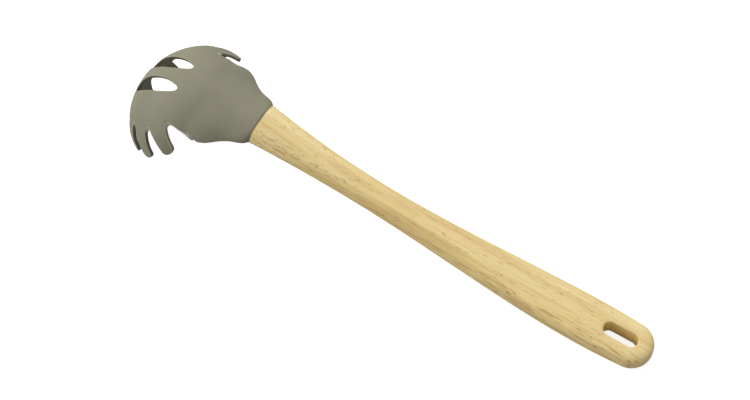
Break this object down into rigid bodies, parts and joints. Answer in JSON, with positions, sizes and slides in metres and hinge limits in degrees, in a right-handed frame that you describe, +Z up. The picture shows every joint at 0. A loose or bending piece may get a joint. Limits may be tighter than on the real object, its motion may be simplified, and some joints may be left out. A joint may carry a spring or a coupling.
{
  "type": "pasta server",
  "caption": "Pasta server with a round slotted bowl edged with long prongs, and an arched wooden handle with a hanging slot.",
  "frame": {"origin": "on the table under the middle of the object's box, with the server lying on its front prong and on the grip end", "axes": "+X along the handle towards the grip end, +Y across the handle, +Z up; the bowl's hollow faces down and the front prong points to -X"},
  "size_m": [0.3288, 0.079, 0.0571],
  "materials": {
    "silicone": "satin moulded silicone, warm grey",
    "nylon": "glass-filled nylon, dark grey",
    "wood": "sanded rubberwood, oiled",
    "adhesive": "cured epoxy"
  },
  "bodies": {
    "root": {"head_skin": "silicone", "head_core": "nylon", "handle": "wood", "tang_glue": "adhesive"}
  },
  "joints": []
}
